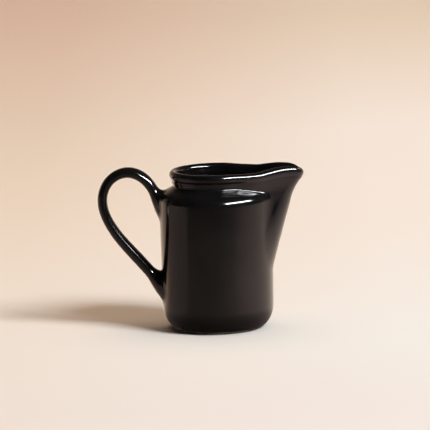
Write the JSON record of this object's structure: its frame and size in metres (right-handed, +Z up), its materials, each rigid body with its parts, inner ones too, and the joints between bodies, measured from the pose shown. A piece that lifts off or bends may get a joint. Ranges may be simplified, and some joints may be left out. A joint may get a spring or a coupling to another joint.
{
  "type": "ceramic milk jug",
  "caption": "Glazed stoneware milk jug with a rolled rim, pulled pouring spout and loop handle, for serving or pouring milk and cream.",
  "frame": {"origin": "centre of the round footprint, on the plane the jug rests on", "axes": "+Z up along the body's axis, +X out of the pouring spout, -X towards the handle, so the XZ plane is the jug's plane of symmetry"},
  "size_m": [0.1488, 0.082, 0.1184],
  "materials": {
    "glazed_stoneware": null,
    "bare_stoneware": null
  },
  "bodies": {
    "root": {"foot_ring": "bare_stoneware", "base_floor": "glazed_stoneware", "body_wall": "glazed_stoneware", "shoulder": "glazed_stoneware", "neck_collar": "glazed_stoneware", "rim_bead": "glazed_stoneware", "spout": "glazed_stoneware", "handle": "glazed_stoneware", "handle_upper_root": "glazed_stoneware", "handle_lower_root": "glazed_stoneware"}
  },
  "joints": []
}
